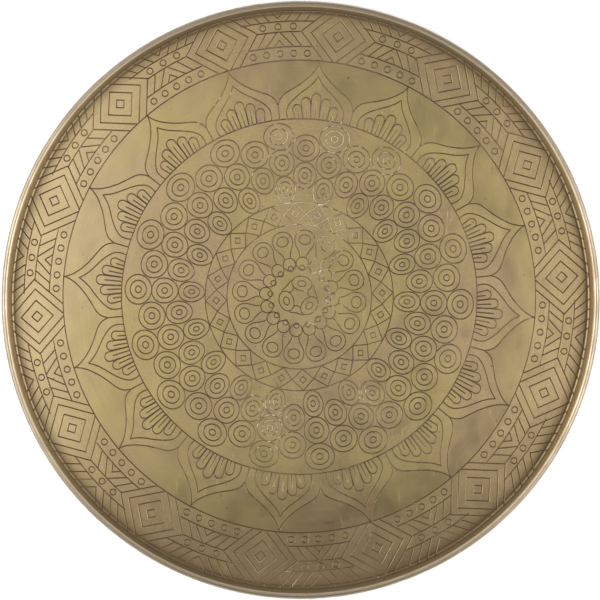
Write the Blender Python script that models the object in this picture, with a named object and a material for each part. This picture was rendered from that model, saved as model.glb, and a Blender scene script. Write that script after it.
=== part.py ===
"""Round brass serving tray: a spun sheet body with a wired, outward-rolled rim.

The tray stands on the flat underside of its floor, which lies in the plane z = 0, with its
axis on +Z.  The body is one sheet of brass: flat floor, round bottom bend, steep wall, and
a rim rolled outwards and down around a steel wire.  The wire is a separate ring that lies
loose in the roll, so it can be seen only through the narrow slit under the rim.
"""

import math

import bmesh
import bpy

# Driving dimensions, in metres.
TRAY_RADIUS = 0.200
TRAY_HEIGHT = 0.018
SHEET = 0.001
BOTTOM_BEND_RADIUS = 0.0023
WALL_LEAN = math.radians(3.0)
ROLL_RADIUS = 0.0021
ROLL_TURN = math.radians(292.0)
WIRE_RADIUS = 0.00075

# How finely the round shapes are divided.
RING_STEPS = 96
BEND_STEPS = 4
ROLL_STEPS = 11
WIRE_STEPS = 10
SHARP_ANGLE = math.radians(40.0)
WELD = 0.000001

# The middle line of the sheet, from which both skins are half a sheet away.
HALF_SHEET = SHEET / 2.0
ROLL_LINE_RADIUS = ROLL_RADIUS - HALF_SHEET
ROLL_CENTRE_R = TRAY_RADIUS - ROLL_RADIUS
ROLL_CENTRE_Z = TRAY_HEIGHT - ROLL_RADIUS


def clear_scene():
    """Remove every object that the open file holds."""
    for item in list(bpy.data.objects):
        bpy.data.objects.remove(item, do_unlink=True)


def metal(name, colour, roughness):
    """A bare metal of one colour."""
    material = bpy.data.materials.new(name)
    material.use_nodes = True
    shader = material.node_tree.nodes["Principled BSDF"]
    shader.inputs["Base Color"].default_value = (*colour, 1.0)
    shader.inputs["Metallic"].default_value = 1.0
    shader.inputs["Roughness"].default_value = roughness
    return material


def arc(centre_r, centre_z, radius, start, end, steps):
    """Points of an arc in the (r, z) plane, each with the direction away from its centre."""
    points = []
    for step in range(steps + 1):
        angle = start + (end - start) * step / steps
        out_r = math.cos(angle)
        out_z = math.sin(angle)
        points.append((centre_r + radius * out_r, centre_z + radius * out_z, out_r, out_z))
    return points


def sheet_line():
    """The sheet's middle line from the axis to the end of the roll.

    Each point is (r, z, nr, nz), where (nr, nz) points to the tray's outer side: down under
    the floor, away from the axis on the wall, and into the roll on the rim.
    """
    roll_start = math.pi - WALL_LEAN
    wall_top_r = ROLL_CENTRE_R + ROLL_LINE_RADIUS * math.cos(roll_start)
    wall_top_z = ROLL_CENTRE_Z + ROLL_LINE_RADIUS * math.sin(roll_start)

    bend_z = HALF_SHEET + BOTTOM_BEND_RADIUS
    wall_r = wall_top_r - (wall_top_z - bend_z) * math.tan(WALL_LEAN)
    bend_r = wall_r - BOTTOM_BEND_RADIUS / math.cos(WALL_LEAN)

    line = [(0.0, HALF_SHEET, 0.0, -1.0)]
    line += arc(bend_r, bend_z, BOTTOM_BEND_RADIUS, -math.pi / 2.0, -WALL_LEAN, BEND_STEPS)
    roll = arc(ROLL_CENTRE_R, ROLL_CENTRE_Z, ROLL_LINE_RADIUS, roll_start,
               roll_start - ROLL_TURN, ROLL_STEPS)
    line += [(r, z, -out_r, -out_z) for r, z, out_r, out_z in roll]
    return line


def turned(name, profile, closed, material):
    """Turn an (r, z) profile about Z into a closed mesh object."""
    shape = bmesh.new()
    points = [shape.verts.new((r, 0.0, z)) for r, z in profile]
    edges = [shape.edges.new(pair) for pair in zip(points, points[1:])]
    if closed:
        edges.append(shape.edges.new((points[-1], points[0])))
    bmesh.ops.spin(shape, geom=points + edges, cent=(0.0, 0.0, 0.0), axis=(0.0, 0.0, 1.0),
                   angle=2.0 * math.pi, steps=RING_STEPS, use_merge=True)
    bmesh.ops.remove_doubles(shape, verts=shape.verts, dist=WELD)
    bmesh.ops.recalc_face_normals(shape, faces=shape.faces)

    mesh = bpy.data.meshes.new(name)
    shape.to_mesh(mesh)
    shape.free()
    mesh.shade_smooth()
    mesh.set_sharp_from_angle(angle=SHARP_ANGLE)
    mesh.materials.append(material)
    piece = bpy.data.objects.new(name, mesh)
    bpy.context.scene.collection.objects.link(piece)
    return piece


def make_body(material):
    """The tray itself, one thin shell whose outline is half a sheet either side of its line."""
    line = sheet_line()
    under = [(r + HALF_SHEET * nr, z + HALF_SHEET * nz) for r, z, nr, nz in line]
    upper = [(r - HALF_SHEET * nr, z - HALF_SHEET * nz) for r, z, nr, nz in line]
    return turned("tray_body", under + upper[::-1], False, material)


def make_wire(material):
    """The round wire that the rim is rolled over."""
    ring = arc(ROLL_CENTRE_R, ROLL_CENTRE_Z, WIRE_RADIUS, 0.0, 2.0 * math.pi, WIRE_STEPS)
    return turned("rim_wire", [(r, z) for r, z, _, _ in ring[:-1]], True, material)


def main():
    clear_scene()
    brass = metal("aged_brass", (0.36, 0.26, 0.12), 0.42)
    steel = metal("rim_wire_steel", (0.42, 0.40, 0.38), 0.5)
    tray = bpy.data.objects.new("tray", None)
    bpy.context.scene.collection.objects.link(tray)
    for piece in (make_body(brass), make_wire(steel)):
        piece.parent = tray


main()
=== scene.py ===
"""The looks of the brass tray: its engraved floor, its aged metal, the light and the camera.

The tray's body is one closed mesh.  Its floor is cut by an engraved pattern whose every line
is a real groove; the wall, the rolled rim and the underside are turned round it.
All lengths of the pattern are in millimetres and all its angles in degrees, measured
clockwise from +Y; the finished mesh is in metres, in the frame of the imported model.
"""

import math

import bpy
import numpy as np
from mathutils import Matrix, Vector, noise
from mathutils.bvhtree import BVHTree
from mathutils.geometry import delaunay_2d_cdt


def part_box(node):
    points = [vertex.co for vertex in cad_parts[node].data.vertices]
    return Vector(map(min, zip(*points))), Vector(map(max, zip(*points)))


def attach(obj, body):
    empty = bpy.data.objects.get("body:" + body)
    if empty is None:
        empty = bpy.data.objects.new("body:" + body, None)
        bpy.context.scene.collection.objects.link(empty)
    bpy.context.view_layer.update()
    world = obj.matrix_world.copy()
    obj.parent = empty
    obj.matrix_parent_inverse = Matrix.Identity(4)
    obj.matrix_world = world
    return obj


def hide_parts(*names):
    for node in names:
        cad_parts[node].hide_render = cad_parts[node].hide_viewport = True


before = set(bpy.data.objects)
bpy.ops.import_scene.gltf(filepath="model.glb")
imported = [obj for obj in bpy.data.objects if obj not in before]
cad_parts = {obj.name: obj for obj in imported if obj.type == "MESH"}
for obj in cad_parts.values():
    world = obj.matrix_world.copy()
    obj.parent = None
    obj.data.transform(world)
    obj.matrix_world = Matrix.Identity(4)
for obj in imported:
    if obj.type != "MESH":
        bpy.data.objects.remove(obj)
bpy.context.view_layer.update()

MM = 0.001

# ---------------------------------------------------------------- the tray's section, in mm

_, BODY_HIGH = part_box("tray_body")
RIM_RADIUS = BODY_HIGH[0] / MM
RIM_TOP = BODY_HIGH[2] / MM
SHEET = 1.0
BEND_RADIUS = 1.8
WALL_LEAN = math.radians(3.0)
ROLL_RADIUS = 2.1
ROLL_TURN = math.radians(292.0)

ROLL_R = RIM_RADIUS - ROLL_RADIUS
ROLL_Z = RIM_TOP - ROLL_RADIUS
BEND_Z = SHEET + BEND_RADIUS
LINE_R = ROLL_R - (ROLL_RADIUS - SHEET / 2.0) * math.cos(WALL_LEAN)
LINE_Z = ROLL_Z + (ROLL_RADIUS - SHEET / 2.0) * math.sin(WALL_LEAN)
BEND_START = (LINE_R - (LINE_Z - BEND_Z) * math.tan(WALL_LEAN)
              - (BEND_RADIUS + SHEET / 2.0) / math.cos(WALL_LEAN))
BEND_END = BEND_START + BEND_RADIUS * (math.pi / 2.0 - WALL_LEAN)

# How finely the round shapes are divided.
RING_STEPS = 240
BEND_STEPS = 7
WALL_STEPS = 3
ROLL_STEPS = 24
INNER_ROLL_STEPS = 10
UNDERSIDE_RINGS = (150.0, 100.0, 50.0)
SHARP_ANGLE = math.radians(17.0)

# -------------------------------------------------------------- the engraved lines, in mm

# The pattern is drawn about its own centre, then scaled and moved to its place on the floor.
PATTERN_SHIFT = (-0.87, 2.3)
PATTERN_SCALE = 1.008
LINES_END = BEND_END - 1.0

# A groove has a narrow flat bed, and sides that slope up to the surface.  The lines that stay
# within the fine reach are cut finer by a share.
CUT_HALF_WIDTH = 0.46
BED_HALF_WIDTH = 0.20
CUT_DEPTH = 0.18
FINE_CUT = 0.8
FINE_REACH = 67.0

# Limits of the work on lines and triangles.
SEARCH_REACH = CUT_HALF_WIDTH * 1.05
HALVINGS = 24
MITRE_LIMIT = 0.45
WELD_LIMIT = 0.004
LEAST_AREA = 1e-9
LEAST_RUN = 1e-6

# The outermost circle of the skin: how near to the bend's end its points are, and to how many
# decimals their angles are compared, so that the first one is always the same.
EDGE_MARGIN = 0.01
TURN_DECIMALS = 6

# A triangle of the skin belongs to a groove when its deepest corner is below the first share of
# the groove's depth, and to the groove's bed when its highest corner is below the second.
GROOVE_SHARE = 0.05
BED_SHARE = 0.3

# The material slots of the body's mesh.  The beds' slots go from dirty to rubbed bright; the
# bright ones also carry a painted highlight.
FLOOR_SLOT, POLISHED_SLOT, CUT_SLOT, RIM_SLOT, WALL_SLOT = range(5)
BED_SLOTS = (5, 6, 7)

# Where the beds of the grooves have lost their dirt.  The wear is patchy, with a fine grain on
# it.  It is greater round one spot, and it never goes up the bend.  Towards +Y and -Y a painted
# highlight is added to it, which makes the beds paler there.
# Past the first limit a bed is half cleaned, and past the second it is rubbed bright.
WEAR_PATCH = 42.0
WEAR_GRAIN, WEAR_GRAIN_SHARE, WEAR_GRAIN_LAYER = 2.6, 0.6, 7.0
WEAR_SPOT, WEAR_SPOT_REACH, WEAR_SPOT_SHARE = (15.0, 45.0), 150.0, 0.42
SIDES_HIGHLIGHT_SHARE, SIDES_HIGHLIGHT_START = 0.22, 60.0
WEAR_LIMITS = (0.25, 0.86)

# Small spots, each with its x, y and reach, where most of the beds are rubbed bright.
BRIGHT_SPOTS = ((-14.0, 109.0, 13.0), (23.0, 109.0, 13.0), (11.0, 23.0, 10.0), (56.0, 5.0, 18.0),
                (50.0, -23.0, 18.0), (7.0, -15.0, 10.0), (72.0, 0.0, 14.0))
BRIGHT_SPOT_SHARE = 0.8


def on_circle(angle, radius):
    """The point at a clock angle and a radius."""
    turn = math.radians(angle)
    return (radius * math.sin(turn), radius * math.cos(turn))


def turned_by(points, angle):
    """The points turned clockwise about the pattern's centre."""
    turn = math.radians(angle)
    cos, sin = math.cos(turn), math.sin(turn)
    return [(x * cos + y * sin, y * cos - x * sin) for x, y in points]


def ring(radius, steps):
    """A closed circle about the pattern's centre."""
    return [on_circle(360.0 * step / steps, radius) for step in range(steps)]


def arc(radius, start, end, steps):
    """An open arc about the pattern's centre."""
    return [on_circle(start + (end - start) * step / steps, radius) for step in range(steps + 1)]


def oval(angle, radius, across, along, steps):
    """A closed oval at a clock angle and radius, with its tangential and radial half sizes."""
    points = []
    for step in range(steps):
        turn = 2.0 * math.pi * step / steps
        points.append((across * math.sin(turn), radius + along * math.cos(turn)))
    return turned_by(points, angle)


def smooth_through(points, steps):
    """A curve through polar points (angle, radius), as a Catmull-Rom spline."""
    first = tuple(2.0 * a - b for a, b in zip(points[0], points[1]))
    last = tuple(2.0 * a - b for a, b in zip(points[-1], points[-2]))
    line = [first, *points, last]
    curve = []
    for p0, p1, p2, p3 in zip(line, line[1:], line[2:], line[3:]):
        for step in range(steps):
            t = step / steps
            curve.append(tuple(
                0.5 * (2.0 * b + (c - a) * t + (2.0 * a - 5.0 * b + 4.0 * c - d) * t * t
                       + (3.0 * b - a - 3.0 * c + d) * t ** 3)
                for a, b, c, d in zip(p0, p1, p2, p3)))
    curve.append(points[-1])
    return [on_circle(angle, radius) for angle, radius in curve]


class Engraving:
    """The pattern's lines, each a list of points with a flag that says whether it is closed.

    They are drawn about the pattern's own centre, before it is placed on the floor.
    """

    def __init__(self):
        self.lines = []

    def closed(self, points):
        self.lines.append((points, True))

    def open(self, points):
        self.lines.append((points, False))

    def both_ways(self, points, axis_angle):
        """An open line, drawn to the right of an axis, and its mirror image to the left."""
        self.open(turned_by(points, axis_angle))
        self.open(turned_by([(-x, y) for x, y in points], axis_angle))


# The border: squares on their corners, with bands of dots and slanting lines between them.
BORDER_UNITS = 14
BORDER_PHASE = 8.55
PANEL_PHASE = -0.2
BORDER_RING = 158.2
SQUARE_R = 175.9

# The squares by half their diagonals: two whole ones, a larger one round them, and the one
# that frames them and ends the panels.
SQUARES = (3.6, 10.8)
CUT_SQUARE = 18.4
FRAME_SQUARE = 25.0

# The rows of dots, with their radius, the step in degrees from dot to dot and their number.
DOT_LOW_R, DOT_LOW_STEP, DOT_LOW_COUNT = 162.8, 3.2, 5
DOT_HIGH_R, DOT_HIGH_STEP, DOT_HIGH_COUNT = 180.9, 3.27, 3
DOT_SIZE = 2.05

# The arcs of a panel, and a radius past the bend, at which no line is left.
BAND_LOW_R, BAND_MID_R, BAND_HIGH_R = 167.3, 177.3, 184.3
EDGE_R = 198.0

# The slanting lines to the right of a panel's middle, each from one (angle, radius) to another.
# Those that run to EDGE_R are cut off on the bend.
SLANTS = (((0.3, BAND_MID_R), (3.3, BAND_LOW_R)),
          ((2.7, BAND_MID_R), (5.15, BAND_LOW_R)),
          ((0.0, 171.9), (1.3, BAND_LOW_R)),
          ((0.0, 186.5), (3.09, EDGE_R)),
          ((1.58, BAND_HIGH_R), (4.82, EDGE_R)),
          ((3.65, BAND_HIGH_R), (6.81, EDGE_R)),
          ((5.65, BAND_HIGH_R), (8.75, EDGE_R)))


def border(engraving):
    """The border's inner circle and, outside it, the squares and the panels."""
    engraving.closed(ring(BORDER_RING, steps=196))
    pitch = 360.0 / BORDER_UNITS
    for unit in range(BORDER_UNITS):
        square_angle = BORDER_PHASE + pitch * unit
        border_square(engraving, square_angle)
        border_panel(engraving, square_angle + pitch / 2.0 + PANEL_PHASE, pitch / 2.0)


def border_square(engraving, angle):
    """Two whole squares, and two larger ones that the inner circle and the bend cut off."""
    for half in SQUARES:
        corners = [(half, SQUARE_R), (0.0, SQUARE_R + half), (-half, SQUARE_R),
                   (0.0, SQUARE_R - half)]
        engraving.closed(turned_by(corners, angle))
    for half in (CUT_SQUARE, FRAME_SQUARE):
        side = [(0.0, SQUARE_R - half), (half, SQUARE_R), (0.0, SQUARE_R + half)]
        kept = cut_line(side, lambda p: math.hypot(*p) - BORDER_RING)
        engraving.both_ways(kept[0], angle)


def border_panel(engraving, angle, half_pitch):
    """The lines between two squares: three arcs, slanting lines and two rows of dots."""
    for radius, inset, steps in ((BAND_LOW_R, SQUARE_R - BAND_LOW_R, 6),
                                 (BAND_MID_R, 0.0, 4),
                                 (BAND_HIGH_R, BAND_HIGH_R - SQUARE_R, 6)):
        reach = half_pitch - math.degrees(math.asin((FRAME_SQUARE - inset) / radius))
        engraving.open(arc(radius, angle - reach, angle + reach, steps))

    for start, end in SLANTS:
        engraving.both_ways([on_circle(*start), on_circle(*end)], angle)

    for count, step, radius in ((DOT_LOW_COUNT, DOT_LOW_STEP, DOT_LOW_R),
                                (DOT_HIGH_COUNT, DOT_HIGH_STEP, DOT_HIGH_R)):
        for dot in range(count):
            dot_angle = angle + step * (dot - (count - 1) / 2.0)
            engraving.closed(oval(dot_angle, radius, DOT_SIZE, DOT_SIZE, steps=12))


# The petals: two nested ogee arches over a fan of five round-topped fingers.
PETALS = 16
PETAL_PHASE = 4.96
PETAL_FOOT = 119.0
FOOT_LINE_TOP = 129.4

# The right halves of the arches, as (angle, radius) from the top down.
OUTER_ARCH = ((0.0, 158.0), (0.25, 155.4), (0.95, 151.8), (1.9, 148.5), (2.9, 145.9),
              (4.0, 143.5), (5.2, 141.4), (6.7, 139.2), (8.2, 137.3), (9.35, 135.6),
              (10.15, 133.8), (10.75, 131.7), (11.12, FOOT_LINE_TOP))
INNER_ARCH = ((0.0, 147.8), (0.9, 144.2), (1.9, 141.4), (2.9, 139.2), (4.0, 137.2),
              (5.35, 134.6), (6.6, 132.2), (7.65, 129.7), (8.45, 127.2), (8.8, 124.8),
              (8.85, 122.0), (8.6, PETAL_FOOT))

# The middle finger and those to its right: the angles of the top and of the foot, the radius of
# the top and the radius at which the finger's vein begins.
FINGERS = ((0.0, 0.0, 136.4, 130.6), (2.95, 2.45, 133.2, 128.4), (5.6, 5.05, 128.5, 124.4))
FINGER_HALF = 1.38
FINGER_FOOT_INSIDE, FINGER_FOOT_OUTSIDE = 0.85, 0.9
FINGER_TOP_STEPS = 8


def petals(engraving):
    """The petals on their foot ring, with a short line between each two of them."""
    engraving.closed(ring(PETAL_FOOT, steps=160))
    pitch = 360.0 / PETALS
    for petal in range(PETALS):
        angle = PETAL_PHASE + pitch * petal
        engraving.both_ways(smooth_through(OUTER_ARCH, steps=2), angle)
        engraving.both_ways(smooth_through(INNER_ARCH, steps=2), angle)
        foot_line = [on_circle(pitch / 2.0, FOOT_LINE_TOP), on_circle(pitch / 2.0, PETAL_FOOT)]
        engraving.open(turned_by(foot_line, angle))
        for finger in FINGERS:
            sides = (1.0,) if finger[0] == 0.0 else (1.0, -1.0)
            for side in sides:
                engraving.open(turned_by(finger_outline(finger, side), angle))
                engraving.open(turned_by(finger_vein(finger, side), angle))


def finger_outline(finger, side):
    """A finger's two sides and its round top, leaning from its foot angle to its top angle."""
    top_angle, foot_angle, top_r, _ = finger
    half = math.radians(FINGER_HALF) * top_r
    shoulder_r = top_r - half
    inside = 1.0 if top_angle == 0.0 else FINGER_FOOT_INSIDE
    points = [on_circle(side * (foot_angle - FINGER_HALF * inside), PETAL_FOOT)]
    for step in range(FINGER_TOP_STEPS + 1):
        turn = math.pi * step / FINGER_TOP_STEPS
        offset = -FINGER_HALF * math.cos(turn)
        points.append(on_circle(side * (top_angle + offset), shoulder_r + half * math.sin(turn)))
    points.append(on_circle(side * (foot_angle + FINGER_HALF * FINGER_FOOT_OUTSIDE), PETAL_FOOT))
    return points


def finger_vein(finger, side):
    """The line up the middle of a finger, which leans as the finger does."""
    top_angle, foot_angle, top_r, vein_r = finger
    lean = (vein_r - PETAL_FOOT) / (top_r - PETAL_FOOT)
    vein_angle = foot_angle + (top_angle - foot_angle) * lean
    return [on_circle(side * vein_angle, vein_r), on_circle(side * foot_angle, PETAL_FOOT)]


# The field of targets: five staggered rows of three nested circles, which grow narrower
# towards the middle.
TARGET_COLUMNS = 18
TARGET_PHASE = 2.65
TARGET_ROWS_R = (107.8, 99.4, 90.1, 81.0, 72.1)
TARGET_HALF_ANGLE = 5.3
TARGET_HALF_R = 8.9

# The three circles of a target: their share of its size, and their number of points.
TARGET_RINGS = ((1.0, 30), (0.61, 22), (0.23, 10))


def targets(engraving):
    """The five rows, of which every other one is moved on by half a target."""
    pitch = 360.0 / TARGET_COLUMNS
    for row, radius in enumerate(TARGET_ROWS_R):
        row_phase = TARGET_PHASE + (pitch / 2.0 if row % 2 == 0 else 0.0)
        for column in range(TARGET_COLUMNS):
            for share, steps in TARGET_RINGS:
                engraving.closed(target_ring(row_phase + pitch * column, radius, share, steps))


def target_ring(angle, radius, share, steps):
    """A closed curve that is a circle when angle and radius are drawn as a flat graph."""
    points = []
    for step in range(steps):
        turn = 2.0 * math.pi * step / steps
        points.append(on_circle(angle + TARGET_HALF_ANGLE * share * math.sin(turn),
                                radius + TARGET_HALF_R * share * math.cos(turn)))
    return points


# The ring of small diamonds between two circles.
DIAMONDS = 24
DIAMOND_PHASE = 12.4
DIAMOND_OUTER_R, DIAMOND_INNER_R = 62.9, 48.4
DIAMOND_SHARES = (0.985, 0.32)


def diamonds(engraving):
    """The two circles and, between them, the diamonds with a smaller one in each."""
    engraving.closed(ring(DIAMOND_OUTER_R, steps=120))
    engraving.closed(ring(DIAMOND_INNER_R, steps=96))
    half_angle = 180.0 / DIAMONDS
    middle_r = (DIAMOND_OUTER_R + DIAMOND_INNER_R) / 2.0
    half_r = (DIAMOND_OUTER_R - DIAMOND_INNER_R) / 2.0
    for diamond in range(DIAMONDS):
        angle = DIAMOND_PHASE + 2.0 * half_angle * diamond
        for share in DIAMOND_SHARES:
            engraving.closed([on_circle(angle, middle_r + half_r * share),
                              on_circle(angle + half_angle * share, middle_r),
                              on_circle(angle, middle_r - half_r * share),
                              on_circle(angle - half_angle * share, middle_r)])


# The rosette: keyhole loops that stand on a ring of beads.
LOOPS = 16
LOOP_PHASE = 5.5

# The right half of a loop that points to +Y, as (x, y) from its foot to its top.
LOOP_HALF = ((2.3, 26.9), (2.35, 28.0), (2.9, 29.5), (4.3, 32.0), (5.9, 34.6), (6.7, 37.6),
             (6.3, 40.6), (4.7, 43.1), (2.5, 44.4), (0.0, 44.8))
LOOP_EYE_R, LOOP_EYE_ACROSS, LOOP_EYE_ALONG = 38.3, 3.9, 3.35
BEAD_R, BEAD_SIZE = 22.55, 4.2
BEAD_EYE_R, BEAD_EYE_SIZE = 19.4, 1.8


def rosette(engraving):
    """The loops with an oval eye in each, and under each loop a bead with its own eye."""
    outline = [*LOOP_HALF, *((-x, y) for x, y in LOOP_HALF[-2::-1])]
    for loop in range(LOOPS):
        angle = LOOP_PHASE + 360.0 / LOOPS * loop
        engraving.open(turned_by(rounded(outline, steps=2), angle))
        engraving.closed(oval(angle, LOOP_EYE_R, LOOP_EYE_ACROSS, LOOP_EYE_ALONG, steps=14))
        engraving.closed(oval(angle, BEAD_R, BEAD_SIZE, BEAD_SIZE, steps=16))
        engraving.closed(oval(angle, BEAD_EYE_R, BEAD_EYE_SIZE, BEAD_EYE_SIZE, steps=10))


def rounded(points, steps):
    """A smooth curve through plain (x, y) points."""
    polar = [(math.degrees(math.atan2(x, y)), math.hypot(x, y)) for x, y in points]
    return smooth_through(polar, steps)


# The middle: three ovals joined by pairs of arcs.
OVALS = 3
OVAL_PHASE = 11.6
OVAL_R, OVAL_ACROSS, OVAL_ALONG = 9.0, 6.8, 4.9
OVAL_EYE_ACROSS, OVAL_EYE_ALONG = 2.8, 2.0

# The two arcs from one oval to the next, as (angle from the first oval, radius).
LINK_OUTER = ((38.0, 12.2), (60.0, 11.0), (82.0, 12.2))
LINK_INNER = ((41.0, 7.2), (61.0, 6.1), (81.0, 7.2))


def middle(engraving):
    """The ovals, each with an eye, and the arcs that join it to the next."""
    for part in range(OVALS):
        angle = OVAL_PHASE + 360.0 / OVALS * part
        engraving.closed(oval(angle, OVAL_R, OVAL_ACROSS, OVAL_ALONG, steps=20))
        engraving.closed(oval(angle, OVAL_R, OVAL_EYE_ACROSS, OVAL_EYE_ALONG, steps=10))
        for link in (LINK_OUTER, LINK_INNER):
            engraving.open(turned_by(smooth_through(link, steps=3), angle))


# ------------------------------------------------------------------- from lines to grooves

def cut_line(points, inside):
    """The stretches of an open line where inside(point) is positive."""
    stretches = []
    current = []
    for here, there in zip(points, points[1:] + [None]):
        keep = inside(here) > 0.0
        if keep:
            current.append(here)
        if there is None:
            break
        if keep != (inside(there) > 0.0):
            current.append(crossing(here, there, inside, keep))
            if keep:
                stretches.append(current)
                current = []
    if len(current) > 1:
        stretches.append(current)
    return stretches


def crossing(here, there, inside, keep):
    """The point between two others where inside(point) changes its sign, found by halving."""
    low, high = 0.0, 1.0
    for _ in range(HALVINGS):
        half = (low + high) / 2.0
        spot = tuple(a + (b - a) * half for a, b in zip(here, there))
        if (inside(spot) > 0.0) == keep:
            low = half
        else:
            high = half
    return spot


def offset_line(points, closed, distance):
    """The line moved to its left by a distance, with mitred corners."""
    line = np.array(points)
    if closed:
        before = np.roll(line, 1, axis=0)
        after = np.roll(line, -1, axis=0)
    else:
        before = np.vstack([2.0 * line[0] - line[1], line[:-1]])
        after = np.vstack([line[1:], 2.0 * line[-1] - line[-2]])
    into = line - before
    out = after - line
    into /= np.linalg.norm(into, axis=1)[:, None]
    out /= np.linalg.norm(out, axis=1)[:, None]
    left = np.stack([-(into + out)[:, 1], (into + out)[:, 0]], axis=1)
    left /= np.linalg.norm(left, axis=1)[:, None]
    reach = np.einsum("ij,ij->i", left, np.stack([-out[:, 1], out[:, 0]], axis=1))
    return line + left * (distance / np.maximum(reach, MITRE_LIMIT))[:, None]


def groove_outline(points, closed, half_width):
    """The closed loops along the two sides of a groove; an open groove gets square ends."""
    line = np.array(points)
    if not closed:
        first = line[0] - line[1]
        last = line[-1] - line[-2]
        line[0] += first / np.linalg.norm(first) * half_width
        line[-1] += last / np.linalg.norm(last) * half_width
    left = offset_line(line, closed, half_width)
    right = offset_line(line, closed, -half_width)
    return [left, right] if closed else [np.vstack([left, right[::-1]])]


def fineness(points):
    """How wide a line is cut: the lines round the middle are finer than the others."""
    reach = max(math.hypot(x, y) for x, y in points)
    return FINE_CUT if reach < FINE_REACH else 1.0


def line_tree(lines):
    """A search tree of upright strips on the lines, and the fineness of each strip's line."""
    corners = []
    strips = []
    widths = []
    for points, closed in lines:
        pairs = list(zip(points, points[1:]))
        if closed:
            pairs.append((points[-1], points[0]))
        for (x0, y0), (x1, y1) in pairs:
            first = len(corners)
            corners += [(x0, y0, -1.0), (x1, y1, -1.0), (x1, y1, 1.0), (x0, y0, 1.0)]
            strips.append((first, first + 1, first + 2, first + 3))
        widths += [fineness(points)] * len(pairs)
    return BVHTree.FromPolygons(corners, strips), widths


def engraved_lines():
    """Every line of the pattern, placed on the floor and ended short of the wall."""
    engraving = Engraving()
    for draw in (border, petals, targets, diamonds, rosette, middle):
        draw(engraving)
    lines = []
    for points, closed in engraving.lines:
        placed = [(x * PATTERN_SCALE + PATTERN_SHIFT[0], y * PATTERN_SCALE + PATTERN_SHIFT[1])
                  for x, y in points]
        if closed:
            lines.append((placed, True))
        else:
            stretches = cut_line(placed, lambda p: LINES_END - math.hypot(*p))
            lines.extend((stretch, False) for stretch in stretches)
    return lines


class Plan:
    """Points and edges of a flat drawing, for the constrained triangulation."""

    def __init__(self):
        self.points = []
        self.edges = []

    def add(self, points):
        """Add a closed loop."""
        first = len(self.points)
        count = len(points)
        self.points.extend(Vector((float(x), float(y))) for x, y in points)
        self.edges.extend((first + i, first + (i + 1) % count) for i in range(count))

    def triangles(self):
        """The drawing cut into triangles, as plan points and corner triples that turn left."""
        places, _, faces, *_ = delaunay_2d_cdt(self.points, self.edges, [], 0, WELD_LIMIT, False)
        points = np.array([tuple(place) for place in places])
        corners = np.array([tuple(face) for face in faces])
        a, b, c = (points[corners[:, i]] for i in range(3))
        area = (b - a)[:, 0] * (c - a)[:, 1] - (b - a)[:, 1] * (c - a)[:, 0]
        corners[area < 0.0] = corners[area < 0.0][:, ::-1]
        return points, corners[np.abs(area) > LEAST_AREA]


# ------------------------------------------------------------------------- the tray's body

def laid_out(plan_points, depths):
    """Plan points laid on the inner skin, which is flat and then bends up to the wall.

    A plan point's radius is its distance from the axis along the skin.
    """
    run = np.hypot(plan_points[:, 0], plan_points[:, 1])
    bend = np.maximum(run - BEND_START, 0.0) / BEND_RADIUS
    r = np.minimum(run, BEND_START) + (BEND_RADIUS + depths) * np.sin(bend)
    z = SHEET + BEND_RADIUS - (BEND_RADIUS + depths) * np.cos(bend)
    share = r / np.maximum(run, LEAST_RUN)
    return np.stack([plan_points[:, 0] * share, plan_points[:, 1] * share, z], axis=1)


def circle(radius):
    """The points of a circle about the axis, one for each step of the turned parts."""
    turn = 2.0 * math.pi * np.arange(RING_STEPS) / RING_STEPS
    return np.stack([radius * np.sin(turn), radius * np.cos(turn)], axis=1)


def bed_slots(places):
    """The slot of each piece of groove bed: dark with dirt, half cleaned or rubbed bright, and
    paler towards +Y and -Y as a painted highlight.
    """
    slots = []
    for x, y in places:
        run = math.hypot(x, y)
        from_spot = math.hypot(x - WEAR_SPOT[0], y - WEAR_SPOT[1])
        wear_and_highlight = noise.noise((x / WEAR_PATCH, y / WEAR_PATCH, 0.0))
        wear_and_highlight += WEAR_GRAIN_SHARE * noise.noise((x / WEAR_GRAIN, y / WEAR_GRAIN, WEAR_GRAIN_LAYER))
        wear_and_highlight += WEAR_SPOT_SHARE * (1.0 - from_spot / WEAR_SPOT_REACH)
        # A painted highlight towards +Y and -Y.
        wear_and_highlight += SIDES_HIGHLIGHT_SHARE * (y * y - x * x) / max(run * run, SIDES_HIGHLIGHT_START ** 2)
        wear_and_highlight -= max(run - BEND_START, 0.0)
        for spot_x, spot_y, reach in BRIGHT_SPOTS:
            from_spot = math.hypot(x - spot_x, y - spot_y)
            wear_and_highlight += BRIGHT_SPOT_SHARE * max(1.0 - from_spot / reach, 0.0)
        slots.append(BED_SLOTS[sum(wear_and_highlight > limit for limit in WEAR_LIMITS)])
    return slots


def polished(places):
    """Which places lie in the plain band: outside the petals, inside the border's ring."""
    x = (places[:, 0] - PATTERN_SHIFT[0]) / PATTERN_SCALE
    y = (places[:, 1] - PATTERN_SHIFT[1]) / PATTERN_SCALE
    run = np.hypot(x, y)
    pitch = 360.0 / PETALS
    offset = (np.degrees(np.arctan2(x, y)) - PETAL_PHASE + pitch / 2.0) % pitch - pitch / 2.0
    arch_angle, arch_run = np.array(OUTER_ARCH[::-1]).T
    reach = np.interp(run, arch_run, arch_angle)
    return (run > PETAL_FOOT) & (run < BORDER_RING) & (np.abs(offset) > reach)


def groove_depths(points, lines):
    """How deep the skin is cut at each point, from its distance to the nearest line."""
    tree, widths = line_tree(lines)
    distance = np.full(len(points), SEARCH_REACH)
    for number, (x, y) in enumerate(points):
        _, _, strip, gap = tree.find_nearest((x, y, 0.0), SEARCH_REACH)
        if gap is not None:
            distance[number] = gap / widths[strip]
    return np.interp(distance, (BED_HALF_WIDTH, CUT_HALF_WIDTH), (CUT_DEPTH, 0.0))


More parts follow.
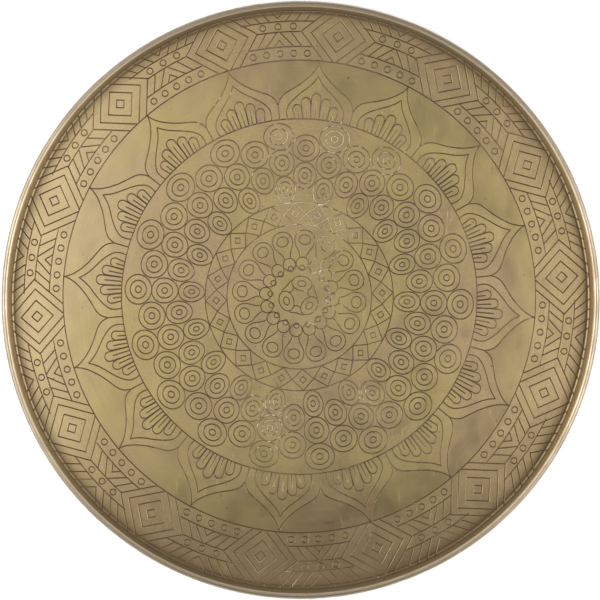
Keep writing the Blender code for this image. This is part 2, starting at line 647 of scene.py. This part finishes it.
def skin_slots(middles, corner_depths):
    """The slot of each triangle of the skin, from its middle and the depths of its corners."""
    cut = corner_depths.max(axis=1) > GROOVE_SHARE * CUT_DEPTH
    slots = np.where(cut, CUT_SLOT, FLOOR_SLOT)
    slots[~cut & polished(middles)] = POLISHED_SLOT
    in_bed = corner_depths.min(axis=1) > BED_SHARE * CUT_DEPTH
    slots[in_bed] = bed_slots(middles[in_bed])
    return slots


def inner_skin(lines):
    """The engraved floor and the bend: points, triangles, slots and the outermost circle."""
    plan = Plan()
    for points, closed in lines:
        for half_width in (BED_HALF_WIDTH, CUT_HALF_WIDTH):
            for loop in groove_outline(points, closed, half_width * fineness(points)):
                plan.add(loop)
    for step in range(BEND_STEPS + 1):
        plan.add(circle(BEND_START + (BEND_END - BEND_START) * step / BEND_STEPS))
    points, corners = plan.triangles()
    depths = groove_depths(points, lines)
    slots = skin_slots(points[corners].mean(axis=1), depths[corners])

    outside = np.flatnonzero(np.hypot(*points.T) > BEND_END - EDGE_MARGIN)
    turn = np.arctan2(points[outside, 0], points[outside, 1]) % (2.0 * math.pi)
    last_ring = outside[np.argsort(np.round(turn, TURN_DECIMALS))]
    return laid_out(points, depths), corners, slots, last_ring


def swept(centre_r, centre_z, radius, start, end, steps):
    """Points of an arc in the (r, z) plane, from one angle to another."""
    angles = [start + (end - start) * step / steps for step in range(steps + 1)]
    return [(centre_r + radius * math.cos(a), centre_z + radius * math.sin(a)) for a in angles]


def turned_profile():
    """The (r, z) points of the wall, the rolled rim and the outer skin, with their slots."""
    roll_start = math.pi - WALL_LEAN
    roll_end = roll_start - ROLL_TURN
    roll = swept(ROLL_R, ROLL_Z, ROLL_RADIUS, roll_start, roll_end, ROLL_STEPS)
    inside = swept(ROLL_R, ROLL_Z, ROLL_RADIUS - SHEET, roll_end, roll_start, INNER_ROLL_STEPS)
    bend = swept(BEND_START, BEND_Z, BEND_RADIUS + SHEET, -WALL_LEAN, -math.pi / 2.0, BEND_STEPS)
    wall_foot = (BEND_START + BEND_RADIUS * math.cos(WALL_LEAN),
                 BEND_Z - BEND_RADIUS * math.sin(WALL_LEAN))
    wall = [tuple(low + (high - low) * step / WALL_STEPS
                  for low, high in zip(wall_foot, roll[0])) for step in range(1, WALL_STEPS)]
    under = [(radius, 0.0) for radius in UNDERSIDE_RINGS]
    profile = [(point, WALL_SLOT) for point in wall + roll[:1]]
    profile += [(point, RIM_SLOT) for point in roll[1:]]
    profile += [(point, FLOOR_SLOT) for point in inside + bend + under]
    return profile


def tray_mesh():
    """One closed mesh: the engraved inner skin, and the rest turned onto its outermost circle."""
    skin_points, skin_faces, slots, last_ring = inner_skin(engraved_lines())
    points = [skin_points]
    faces = skin_faces.tolist()
    slots = slots.tolist()
    count = len(skin_points)
    for (radius, z), slot in turned_profile():
        points.append(np.column_stack([circle(radius), np.full(RING_STEPS, z)]))
        next_ring = range(count, count + RING_STEPS)
        for step in range(RING_STEPS):
            after = (step + 1) % RING_STEPS
            faces.append((last_ring[step], last_ring[after], next_ring[after], next_ring[step]))
            slots.append(slot)
        last_ring = next_ring
        count += RING_STEPS
    points.append(np.array([[0.0, 0.0, 0.0]]))
    for step in range(RING_STEPS):
        faces.append((last_ring[step], last_ring[(step + 1) % RING_STEPS], count))
        slots.append(FLOOR_SLOT)

    mesh = bpy.data.meshes.new("tray_body_engraved")
    mesh.from_pydata((np.vstack(points) * MM).tolist(), [], faces)
    mesh.polygons.foreach_set("material_index", slots)
    mesh.shade_smooth()
    mesh.set_sharp_from_angle(angle=SHARP_ANGLE)
    smooth_bend(mesh, len(skin_faces))
    return mesh


def smooth_bend(mesh, skin_count):
    """Give the uncut faces of the inner skin the true normals of its flat and its bend.

    The skin's faces come first in the mesh, and they are all triangles.
    """
    normals = np.empty(len(mesh.loops) * 3, dtype=np.float32)
    mesh.corner_normals.foreach_get("vector", normals)
    normals = normals.reshape(-1, 3)
    places = np.empty(len(mesh.vertices) * 3, dtype=np.float32)
    mesh.vertices.foreach_get("co", places)
    places = places.reshape(-1, 3) / MM
    loop_points = np.empty(len(mesh.loops), dtype=np.int32)
    mesh.loops.foreach_get("vertex_index", loop_points)
    slots = np.empty(len(mesh.polygons), dtype=np.int32)
    mesh.polygons.foreach_get("material_index", slots)

    uncut = np.isin(slots[:skin_count], (FLOOR_SLOT, POLISHED_SLOT))
    loops = np.flatnonzero(np.repeat(uncut, 3))
    here = places[loop_points[loops]]
    run = np.maximum(np.hypot(here[:, 0], here[:, 1]), LEAST_RUN)
    bend = np.arctan2(np.maximum(run - BEND_START, 0.0), BEND_Z - here[:, 2])
    inward = -np.sin(bend) / run
    normals[loops] = np.stack([here[:, 0] * inward, here[:, 1] * inward, np.cos(bend)], axis=1)
    mesh.normals_split_custom_set(normals.tolist())


# -------------------------------------------------------------------------- the materials

class Nodes:
    """A metal material and a short way to add nodes to it."""

    def __init__(self, name, roughness):
        """Start with one gloss all over; place is the point of the tray, in metres."""
        self.material = bpy.data.materials.new(name)
        self.material.use_nodes = True
        self.tree = self.material.node_tree
        self.shader = self.tree.nodes["Principled BSDF"]
        self.shader.inputs["Metallic"].default_value = 1.0
        self.shader.inputs["Roughness"].default_value = roughness
        self.place = self.tree.nodes.new("ShaderNodeTexCoord").outputs["Object"]

    def colour(self, colour):
        self.shader.inputs["Base Color"].default_value = (*colour, 1.0)

    def link(self, output, socket):
        self.tree.links.new(output, socket)

    def noise(self, scale, detail, distortion=0.0, place=None):
        """A cloudy pattern of values round 0.5, with patches about 1 / scale wide."""
        node = self.tree.nodes.new("ShaderNodeTexNoise")
        node.inputs["Scale"].default_value = scale
        node.inputs["Detail"].default_value = detail
        node.inputs["Distortion"].default_value = distortion
        self.link(place or self.place, node.inputs["Vector"])
        return node.outputs["Fac"]

    def ramp(self, value, low, high, first, last):
        """The value's stretch from low to high, mapped smoothly onto first to last."""
        node = self.tree.nodes.new("ShaderNodeMapRange")
        node.interpolation_type = "SMOOTHSTEP"
        for name, number in (("From Min", low), ("From Max", high),
                             ("To Min", first), ("To Max", last)):
            node.inputs[name].default_value = number
        self.link(value, node.inputs["Value"])
        return node.outputs["Result"]

    def mix(self, factor, first, second):
        """A mix of two colours, each a node's output or a fixed colour."""
        node = self.tree.nodes.new("ShaderNodeMix")
        node.data_type = "RGBA"
        self.link(factor, node.inputs["Factor"])
        for socket, colour in ((node.inputs[6], first), (node.inputs[7], second)):
            if isinstance(colour, tuple):
                socket.default_value = (*colour, 1.0)
            else:
                self.link(colour, socket)
        return node.outputs[2]

    def math(self, operation, first, second):
        """An operation on two values, each a node's output or a fixed number."""
        node = self.tree.nodes.new("ShaderNodeMath")
        node.operation = operation
        for socket, value in zip(node.inputs, (first, second)):
            if isinstance(value, float):
                socket.default_value = value
            else:
                self.link(value, socket)
        return node.outputs["Value"]

    def radius(self):
        """The distance from the tray's axis, in metres."""
        flat = self.tree.nodes.new("ShaderNodeVectorMath")
        flat.operation = "MULTIPLY"
        flat.inputs[1].default_value = (1.0, 1.0, 0.0)
        self.link(self.place, flat.inputs[0])
        length = self.tree.nodes.new("ShaderNodeVectorMath")
        length.operation = "LENGTH"
        self.link(flat.outputs["Vector"], length.inputs[0])
        return length.outputs["Value"]

    def unevenness(self, pattern, middle, swing):
        """A value that a pattern moves up and down about its middle."""
        return self.ramp(pattern, PATTERN_LOW, PATTERN_HIGH, middle - swing, middle + swing)

    def by_radius(self, low, high, first, last):
        """A ramp between two distances from the tray's axis, in mm."""
        return self.ramp(self.radius(), low * MM, high * MM, first, last)

    def along(self, axis):
        """The distance from the middle along a direction in the floor, in metres."""
        node = self.tree.nodes.new("ShaderNodeVectorMath")
        node.operation = "DOT_PRODUCT"
        node.inputs[1].default_value = (*axis, 0.0)
        self.link(self.place, node.inputs[0])
        return node.outputs["Value"]

    def spun(self, across, along):
        """Coordinates that run fast across the marks of the lathe and slowly along them."""
        split = self.tree.nodes.new("ShaderNodeSeparateXYZ")
        self.link(self.place, split.inputs["Vector"])
        run = self.radius()
        joined = self.tree.nodes.new("ShaderNodeCombineXYZ")
        self.link(self.math("MULTIPLY", run, across), joined.inputs["X"])
        for name, target in (("X", "Y"), ("Y", "Z")):
            turn = self.math("DIVIDE", split.outputs[name],
                             self.math("MAXIMUM", run, LATHE_CENTRE * MM))
            self.link(self.math("MULTIPLY", turn, along), joined.inputs[target])
        return joined.outputs["Vector"]

    def hairlines(self, angle):
        """Sparse fine scratches, all lying roughly one way."""
        mapping = self.tree.nodes.new("ShaderNodeMapping")
        mapping.inputs["Rotation"].default_value[2] = math.radians(angle)
        mapping.inputs["Scale"].default_value = HAIRLINE_STRETCH
        self.link(self.place, mapping.inputs["Vector"])
        lines = self.noise(*HAIRLINES, place=mapping.outputs["Vector"])
        return self.ramp(lines, *HAIRLINE_CUT)

    def bump(self, height, distance):
        """Tilt the surface as if the height pattern, from 0 to 1, rose by this many metres."""
        node = self.tree.nodes.new("ShaderNodeBump")
        node.inputs["Distance"].default_value = distance
        node.inputs["Strength"].default_value = 1.0
        self.link(height, node.inputs["Height"])
        self.link(node.outputs["Normal"], self.shader.inputs["Normal"])


# Colours.
BRASS = (0.346, 0.267, 0.122)
BRASS_PINK = (0.33, 0.243, 0.135)
BRASS_OLIVE = (0.315, 0.252, 0.105)
# Rubbed brass, also laid on as painted light towards -X.
BRASS_RUBBED_AND_LIT = (0.45, 0.36, 0.20)
# A painted highlight, on the bend and on the rim's inner side.
PAINTED_HIGHLIGHT_BRASS = (0.68, 0.59, 0.44)
# Patina and dirt; also laid on as painted shade in the crease, across the floor and on the rim's
# outer edge.
PATINA_AND_SHADE = (0.11, 0.075, 0.041)
CUT_BRASS = (0.22, 0.157, 0.082)
# The wall's brass, paler and greyer than the floor: partly dust, partly painted light.
WALL_BRASS_DUSTY_AND_LIT = (0.43, 0.35, 0.23)
RIM_PALE = (0.50, 0.43, 0.32)
RIM_DEEP = (0.40, 0.33, 0.23)
# Painted shade for the rim's crest.
CREST_PAINTED_SHADE = (0.17, 0.115, 0.07)
STEEL = (0.40, 0.38, 0.36)
BED_TONES = ((0.07, 0.048, 0.031), (0.16, 0.118, 0.073), (0.50, 0.42, 0.285))

# Cloudy patterns: the scale per metre, the detail and the distortion.
CLOUDS = (13.0, 4.0, 0.6)
PATCHES = (55.0, 5.0, 0.3)
SPECKLE = (700.0, 3.0)
PITTING = (330.0, 1.0)
SWELLS = (28.0, 2.0)
RIM_PATCHES = (60.0, 4.0, 0.4)
GLOSS = (400.0, 3.0)

# Streaks that the lathe left: the pattern, and how fast it runs across and along them.  Within
# the centre's radius, in mm, they fade.
STREAKS = (1.0, 3.0)
STREAKS_ACROSS, STREAKS_ALONG = 900.0, 2.5
LATHE_CENTRE = 10.0

# Fine scratches: the pattern, its stretch, what part of it shows, and the ways they lie.
HAIRLINES = (1.0, 2.0, 0.4)
HAIRLINE_STRETCH = (1900.0, 55.0, 1.0)
HAIRLINE_CUT = (0.68, 0.78, 0.0, 1.0)
HAIRLINE_ANGLES = (25.0, -48.0)

# How much of a tone a pattern lays on: its values where the tone begins and is full, and the
# tone's least and greatest share.  The speckle's greatest share is each metal's own grain.
PINK_BY_CLOUDS = (0.36, 0.64, 0.0, 1.0)
OLIVE_BY_PATCHES = (0.45, 0.75, 0.0, 0.55)
DIRT_BY_STREAKS = (0.45, 0.8, 0.0, 0.15)
DIRT_BY_SPECKLE = (0.5, 0.8, 0.0)
RUBBED_BY_SPECKLE = (0.5, 0.2, 0.0)
PITS = (0.76, 0.80, 0.0, 0.7)
RIM_DEEP_BY_PATCHES = (0.35, 0.7, 0.0, 1.0)

# The same by distance from the axis, in mm.
BORDER_PINK = (156.0, 162.0, 0.0, 0.5)
# Darker towards the foot of the wall.
DARKER_TOWARDS_WALL = (186.0, BEND_START - 1.0, 0.0, 0.25)
# Painted shade in the crease at the foot of the bend.
CREASE_SHADE_FROM = (BEND_START - 1.4, BEND_START - 0.2, 0.0, 0.7)
CREASE_SHADE_TO = (BEND_START + 0.5, BEND_START + 1.2, 1.0, 0.0)
# A painted highlight on the bend.
BEND_PAINTED_HIGHLIGHT = (BEND_START + 0.9, BEND_START + 1.4, 0.0, 0.2)
# A painted highlight on the rim's inner side.
RIM_INNER_PAINTED_HIGHLIGHT = (196.1, 196.8, 0.4, 0.0)
# Painted shade along the rim's crest.
CREST_SHADE_FROM = (196.6, 197.4, 0.0, 0.62)
CREST_SHADE_TO = (198.3, 199.0, 1.0, 0.0)
# Painted shade on the rim's outer edge.
RIM_OUTER_SHADE = (198.6, 199.5, 0.0, 0.45)

# Broad painted shade and painted light: darker towards -Y and +Y, paler towards -X.  Each has a
# direction, how far along it in mm it begins and is full, how strong it is there, and its tone.
# Their edges wander by this much with the clouds.
PAINTED_SHADE_AND_LIGHT = (((0.1, -1.0), 70.0, 175.0, 0.50, PATINA_AND_SHADE),
          ((0.2, 1.0), 110.0, 180.0, 0.16, PATINA_AND_SHADE),
          ((-1.0, 0.15), 100.0, 185.0, 0.38, BRASS_RUBBED_AND_LIT))
PAINTED_SHADE_AND_LIGHT_WANDER = 30.0

# How far a pattern moves the roughness as it runs from its usual low to its usual high.
PATTERN_LOW, PATTERN_HIGH = 0.3, 0.7
PATCH_DULLNESS, STREAK_DULLNESS, SCRATCH_DULLNESS = 0.03, 0.015, 0.08
RIM_ROUGHNESS, RIM_DULLNESS = 0.38, 0.04

# The relief that is too fine for the mesh: the height of its swells in mm, and the share of it
# that the other patterns have.
RELIEF = 0.5
STREAK_RELIEF, SPECKLE_RELIEF, SCRATCH_RELIEF = 0.008, 0.05, 0.03


def floor_colour(nodes, clouds, patches, streaks, speckle, grain):
    """The floor's tones, from the cloudy brass up to the broad painted shade and light that lie
    over it.
    """
    colour = nodes.mix(nodes.ramp(clouds, *PINK_BY_CLOUDS), BRASS, BRASS_PINK)
    colour = nodes.mix(nodes.ramp(patches, *OLIVE_BY_PATCHES), colour, BRASS_OLIVE)
    colour = nodes.mix(nodes.by_radius(*BORDER_PINK), colour, BRASS_PINK)
    dirt = nodes.math("ADD", nodes.ramp(streaks, *DIRT_BY_STREAKS),
                      nodes.ramp(speckle, *DIRT_BY_SPECKLE, grain))
    colour = nodes.mix(dirt, colour, PATINA_AND_SHADE)
    colour = nodes.mix(nodes.ramp(speckle, *RUBBED_BY_SPECKLE, grain), colour, BRASS_RUBBED_AND_LIT)
    wander = nodes.math("MULTIPLY", clouds, PAINTED_SHADE_AND_LIGHT_WANDER * MM)
    # Painted shade and painted light, laid on as broad gradients across the floor.
    for axis, near, far, most, tone in PAINTED_SHADE_AND_LIGHT:
        reach = nodes.math("ADD", nodes.along(axis), wander)
        painted_gradient = nodes.ramp(reach, (near + PAINTED_SHADE_AND_LIGHT_WANDER / 2.0) * MM,
                           (far + PAINTED_SHADE_AND_LIGHT_WANDER / 2.0) * MM, 0.0, most)
        colour = nodes.mix(painted_gradient, colour, tone)
    return colour


def edge_colour(nodes, colour):
    """Darker towards the wall, painted shade in the crease at its foot and a painted highlight on
    the bend over it.
    """
    colour = nodes.mix(nodes.by_radius(*DARKER_TOWARDS_WALL), colour, PATINA_AND_SHADE)
    # Painted shade in the crease.
    crease_shade = nodes.math("MULTIPLY", nodes.by_radius(*CREASE_SHADE_FROM), nodes.by_radius(*CREASE_SHADE_TO))
    colour = nodes.mix(crease_shade, colour, PATINA_AND_SHADE)
    # A painted highlight on the bend.
    return nodes.mix(nodes.by_radius(*BEND_PAINTED_HIGHLIGHT), colour, PAINTED_HIGHLIGHT_BRASS)


def floor_brass(name, roughness, grain):
    """Worn brass: spun streaks, cloudy with old polish, broad painted shade and light, and darker
    towards the wall, with painted shade and a painted highlight where it bends up.
    """
    nodes = Nodes(name, roughness)
    clouds = nodes.noise(*CLOUDS)
    patches = nodes.noise(*PATCHES)
    speckle = nodes.noise(*SPECKLE)
    streaks = nodes.noise(*STREAKS, place=nodes.spun(STREAKS_ACROSS, STREAKS_ALONG))
    scratches = nodes.math("MAXIMUM", *(nodes.hairlines(angle) for angle in HAIRLINE_ANGLES))

    colour = floor_colour(nodes, clouds, patches, streaks, speckle, grain)
    colour = edge_colour(nodes, colour)
    colour = nodes.mix(nodes.ramp(nodes.noise(*PITTING), *PITS), colour, PATINA_AND_SHADE)
    nodes.link(colour, nodes.shader.inputs["Base Color"])

    dull = nodes.math("ADD", nodes.unevenness(patches, roughness, PATCH_DULLNESS),
                      nodes.unevenness(streaks, 0.0, STREAK_DULLNESS))
    dull = nodes.math("ADD", dull, nodes.math("MULTIPLY", scratches, SCRATCH_DULLNESS))
    nodes.link(dull, nodes.shader.inputs["Roughness"])

    height = nodes.math("ADD", nodes.noise(*SWELLS),
                        nodes.math("MULTIPLY", streaks, STREAK_RELIEF))
    height = nodes.math("ADD", height, nodes.math("MULTIPLY", speckle, SPECKLE_RELIEF * grain))
    height = nodes.math("SUBTRACT", height, nodes.math("MULTIPLY", scratches, SCRATCH_RELIEF))
    nodes.bump(height, RELIEF * MM)
    return nodes.material


def plain_metal(name, colour, roughness, swing):
    """One colour of metal with a slightly uneven gloss."""
    nodes = Nodes(name, roughness)
    nodes.colour(colour)
    nodes.link(nodes.unevenness(nodes.noise(*GLOSS), roughness, swing),
               nodes.shader.inputs["Roughness"])
    return nodes.material


def rim_brass():
    """The rolled rim, rubbed paler than the floor, with a painted highlight inside and painted
    shade on its crest and outer edge.
    """
    nodes = Nodes("brass_rim", RIM_ROUGHNESS)
    patches = nodes.noise(*RIM_PATCHES)
    colour = nodes.mix(nodes.ramp(patches, *RIM_DEEP_BY_PATCHES), RIM_PALE, RIM_DEEP)
    # A painted highlight on the rim's inner side.
    colour = nodes.mix(nodes.by_radius(*RIM_INNER_PAINTED_HIGHLIGHT), colour, PAINTED_HIGHLIGHT_BRASS)
    # Painted shade along the crest.
    crest_shade = nodes.math("MULTIPLY", nodes.by_radius(*CREST_SHADE_FROM), nodes.by_radius(*CREST_SHADE_TO))
    colour = nodes.mix(crest_shade, colour, CREST_PAINTED_SHADE)
    # Painted shade on the rim's outer edge.
    colour = nodes.mix(nodes.by_radius(*RIM_OUTER_SHADE), colour, PATINA_AND_SHADE)
    nodes.link(colour, nodes.shader.inputs["Base Color"])
    nodes.link(nodes.unevenness(patches, RIM_ROUGHNESS, RIM_DULLNESS),
               nodes.shader.inputs["Roughness"])
    return nodes.material


# --------------------------------------------------------------------- building and staging

def tray_materials():
    """The body's materials, in the order of its slots."""
    materials = [floor_brass("brass_aged", roughness=0.37, grain=0.25),
                 floor_brass("brass_polished", roughness=0.34, grain=0.08),
                 plain_metal("brass_cut", CUT_BRASS, roughness=0.36, swing=0.05),
                 rim_brass(),
                 plain_metal("brass_wall", WALL_BRASS_DUSTY_AND_LIT, roughness=0.46, swing=0.05)]
    for number, tone in enumerate(BED_TONES):
        materials.append(plain_metal(f"brass_cut_bed_{number}", tone, roughness=0.5, swing=0.06))
    return materials


def build_tray():
    """The engraved body, which stands for the CAD's, and the steel of the CAD's wire."""
    body = bpy.data.objects.new("tray_body_engraved", tray_mesh())
    bpy.context.scene.collection.objects.link(body)
    for material in tray_materials():
        body.data.materials.append(material)
    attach(body, "root")
    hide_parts("tray_body")
    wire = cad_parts["rim_wire"]
    steel = plain_metal("steel_wire", STEEL, roughness=0.5, swing=0.08)
    for slot in wire.material_slots:
        slot.material = steel


# The ground's size in metres, its tone, and the little light it gives off, which softens the
# tray's shadow.
FLOOR_SIZE = 60.0
FLOOR_TONE = (0.9, 0.9, 0.9)
FLOOR_GLOW = 0.13

# The studio's brightness at the horizon and overhead, and the heights, as the upward part of
# the direction, at which it begins to fall and is down.
STUDIO_LOW, STUDIO_HIGH = 1.2, 0.0
STUDIO_EDGE, STUDIO_DARK = 0.0, 0.95

# The soft lights: their distance and size in metres; and each one's name, clock angle, height
# in degrees and power in watts.
LIGHT_AWAY, LIGHT_SIZE = 1.6, 1.2
SOFT_LIGHTS = (("soft_west_high", 272.0, 64.0, 4.8),
               ("soft_west_low", 270.0, 48.0, 18.0),
               ("soft_east", 98.0, 52.0, 22.5),
               ("soft_north_west", 315.0, 62.0, 3.0),
               ("soft_north", 0.0, 74.0, 0.5))

# The camera looks down from this far in metres, at a point in mm, from a little towards +X
# and +Y.
CAMERA_AWAY = 1.8
CAMERA_TARGET = (-0.3, 0.35)
CAMERA_EAST = math.radians(0.3)
CAMERA_NORTH = math.radians(0.9)
CAMERA_LENS = 161.5
CAMERA_SENSOR = 36.0
CAMERA_CLIP = 200.0


def build_floor():
    """A wide pale ground under the tray."""
    mesh = bpy.data.meshes.new("ground")
    half = FLOOR_SIZE / 2.0
    mesh.from_pydata([(-half, -half, 0.0), (half, -half, 0.0), (half, half, 0.0),
                      (-half, half, 0.0)], [], [(0, 1, 2, 3)])
    ground = bpy.data.objects.new("ground", mesh)
    bpy.context.scene.collection.objects.link(ground)
    material = bpy.data.materials.new("pale_ground")
    material.use_nodes = True
    shader = material.node_tree.nodes["Principled BSDF"]
    shader.inputs["Base Color"].default_value = (*FLOOR_TONE, 1.0)
    shader.inputs["Roughness"].default_value = 0.9
    shader.inputs["Specular IOR Level"].default_value = 0.1
    shader.inputs["Emission Color"].default_value = (1.0, 1.0, 1.0, 1.0)
    shader.inputs["Emission Strength"].default_value = FLOOR_GLOW
    mesh.materials.append(material)


def soft_light(name, azimuth, elevation, power):
    """A square soft light that looks at the tray and isn't seen itself."""
    data = bpy.data.lights.new(name, "AREA")
    data.shape = "SQUARE"
    data.size = LIGHT_SIZE
    data.energy = power
    lamp = bpy.data.objects.new(name, data)
    bpy.context.scene.collection.objects.link(lamp)
    turn, rise = math.radians(azimuth), math.radians(elevation)
    spot = Vector((math.sin(turn) * math.cos(rise), math.cos(turn) * math.cos(rise),
                   math.sin(rise))) * LIGHT_AWAY
    lamp.location = spot
    lamp.rotation_euler = (-spot).to_track_quat("-Z", "Y").to_euler()
    lamp.visible_camera = False


def build_world():
    """A white studio that is bright at the horizon and darkens upwards."""
    world = bpy.data.worlds.new("studio")
    world.use_nodes = True
    tree = world.node_tree
    background = tree.nodes["Background"]
    background.inputs["Color"].default_value = (1.0, 1.0, 1.0, 1.0)
    direction = tree.nodes.new("ShaderNodeTexCoord")
    split = tree.nodes.new("ShaderNodeSeparateXYZ")
    fade = tree.nodes.new("ShaderNodeMapRange")
    fade.interpolation_type = "SMOOTHSTEP"
    for name, number in (("From Min", STUDIO_EDGE), ("From Max", STUDIO_DARK),
                         ("To Min", STUDIO_LOW), ("To Max", STUDIO_HIGH)):
        fade.inputs[name].default_value = number
    tree.links.new(direction.outputs["Generated"], split.inputs["Vector"])
    tree.links.new(split.outputs["Z"], fade.inputs["Value"])
    tree.links.new(fade.outputs["Result"], background.inputs["Strength"])
    bpy.context.scene.world = world


def build_camera():
    """A long lens that looks almost straight down, with +Y up in the picture."""
    data = bpy.data.cameras.new("camera")
    data.sensor_width = CAMERA_SENSOR
    data.lens = CAMERA_LENS
    data.clip_end = CAMERA_CLIP
    camera = bpy.data.objects.new("camera", data)
    bpy.context.scene.collection.objects.link(camera)
    target = Vector((*CAMERA_TARGET, ROLL_Z)) * MM
    away = Vector((math.tan(CAMERA_EAST), math.tan(CAMERA_NORTH), 1.0)).normalized()
    camera.location = target + away * CAMERA_AWAY
    right = Vector((0.0, 1.0, 0.0)).cross(away).normalized()
    camera.rotation_euler = Matrix((right, away.cross(right), away)).transposed().to_euler()
    bpy.context.scene.camera = camera


build_tray()
build_floor()
for light in SOFT_LIGHTS:
    soft_light(*light)
build_world()
build_camera()
bpy.context.scene.view_settings.view_transform = "Standard"
